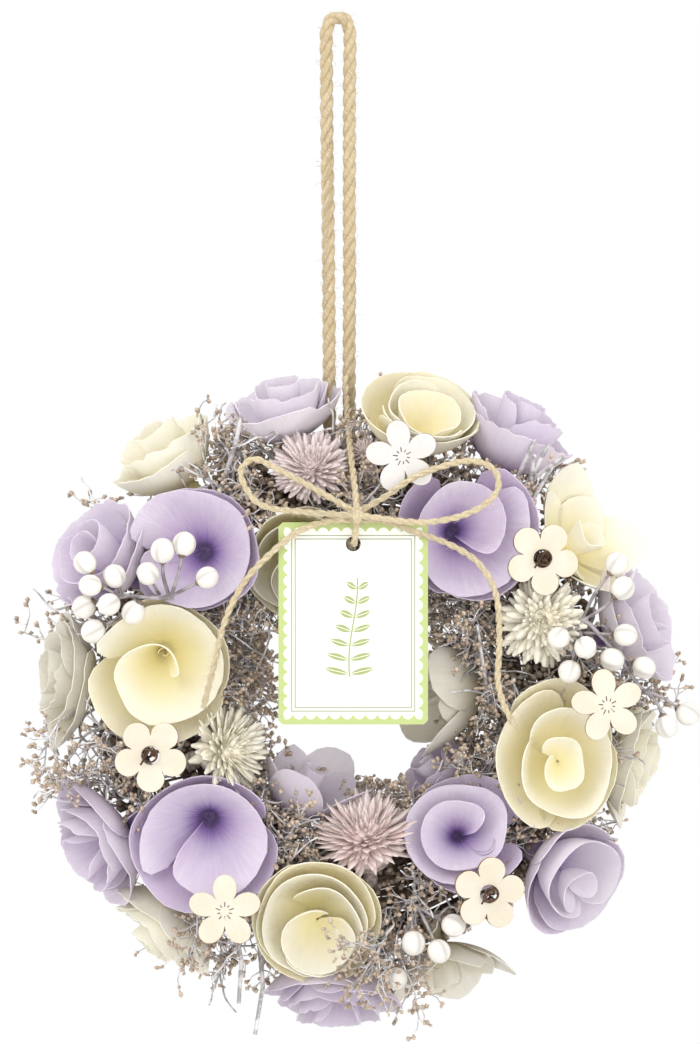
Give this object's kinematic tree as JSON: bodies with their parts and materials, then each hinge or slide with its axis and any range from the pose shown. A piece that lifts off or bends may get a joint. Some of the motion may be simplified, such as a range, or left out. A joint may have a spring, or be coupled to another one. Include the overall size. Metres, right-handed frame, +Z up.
{
  "type": "flower wreath",
  "caption": "Round door wreath of carved wood-shaving blooms, berries, wooden cut-outs and dried filler on a twig ring, with a jute hanging loop, a twine bow and a card tag.",
  "frame": {"origin": "inner top of the rope loop, where a hook or nail carries the wreath", "axes": "+Z up, +X to the right and -Y to the front as the wreath is seen on its door"},
  "size_m": [0.2516, 0.0764, 0.3821],
  "materials": {
    "twig": "dry bundled twigs, matt",
    "cream_petal": "thin dyed wood shaving, satin",
    "aged_petal": "thin dyed wood shaving, greyish, satin",
    "lilac_petal": "thin dyed wood shaving, satin",
    "mauve_bract": "dried bract, matt",
    "straw_bract": "dried bract, papery",
    "pink_bract": "dried bract, matt",
    "white_wood": "painted thin plywood, matt",
    "pale_wood": "bare thin plywood, matt",
    "wire": "brown lacquered wire",
    "berry": "white coated berry on a silver-grey stem",
    "dried_filler": "dried florets on silvery twigs, matt",
    "jute_rope": "twisted jute rope",
    "jute_twine": "twisted jute twine",
    "card": "printed card, matt"
  },
  "bodies": {
    "root": {"base_ring": "twig", "hanging_rope": "jute_rope", "twine_knot": "jute_twine", "twine_strand": "jute_twine", "twine_loop_left": "jute_twine", "twine_loop_right": "jute_twine", "twine_tail_left": "jute_twine", "twine_tail_right": "jute_twine", "tag_string": "jute_twine", "card_tag": "card", "cutout_top_wire": "wire", "cutout_top": "white_wood", "cutout_right_wire": "wire", "cutout_right": "pale_wood", "cutout_low_right_wire": "wire", "cutout_low_right": "pale_wood", "cutout_low_left_wire": "wire", "cutout_low_left": "pale_wood", "cutout_left_wire": "wire", "cutout_left": "pale_wood", "cutout_upper_right_wire": "wire", "berry_spray_left": "berry", "berry_spray_right": "berry", "berry_spray_low": "berry", "cream_bloom_08": "cream_petal", "lilac_bloom_03": "lilac_petal", "cream_bloom_03": "cream_petal", "cream_bloom_06": "cream_petal", "lilac_bloom_08": "lilac_petal", "lilac_bloom_05": "lilac_petal", "lilac_bloom_10": "lilac_petal", "cream_bloom_11": "aged_petal", "cream_bloom_01": "cream_petal", "lilac_bloom_06": "lilac_petal", "lilac_bloom_11": "lilac_petal", "cream_bloom_02": "cream_petal", "lilac_bloom_09": "lilac_petal", "lilac_bloom_01": "lilac_petal", "lilac_bloom_02": "lilac_petal", "lilac_bloom_04": "lilac_petal", "cream_bloom_09": "aged_petal", "cream_bloom_04": "cream_petal", "cream_bloom_10": "cream_petal", "cream_bloom_05": "aged_petal", "lilac_bloom_07": "lilac_petal", "cream_bloom_07": "cream_petal", "cream_bloom_12": "aged_petal", "lilac_bloom_12": "lilac_petal", "lilac_bloom_13": "lilac_petal", "cutout_upper_right": "pale_wood", "mauve_head": "mauve_bract", "straw_head_left": "straw_bract", "straw_head_right": "straw_bract", "pink_head": "pink_bract", "pink_head_small": "pink_bract", "filler_top": "dried_filler", "filler_right": "dried_filler", "filler_low_right": "dried_filler", "filler_low_left": "dried_filler", "filler_left": "dried_filler"}
  },
  "joints": []
}
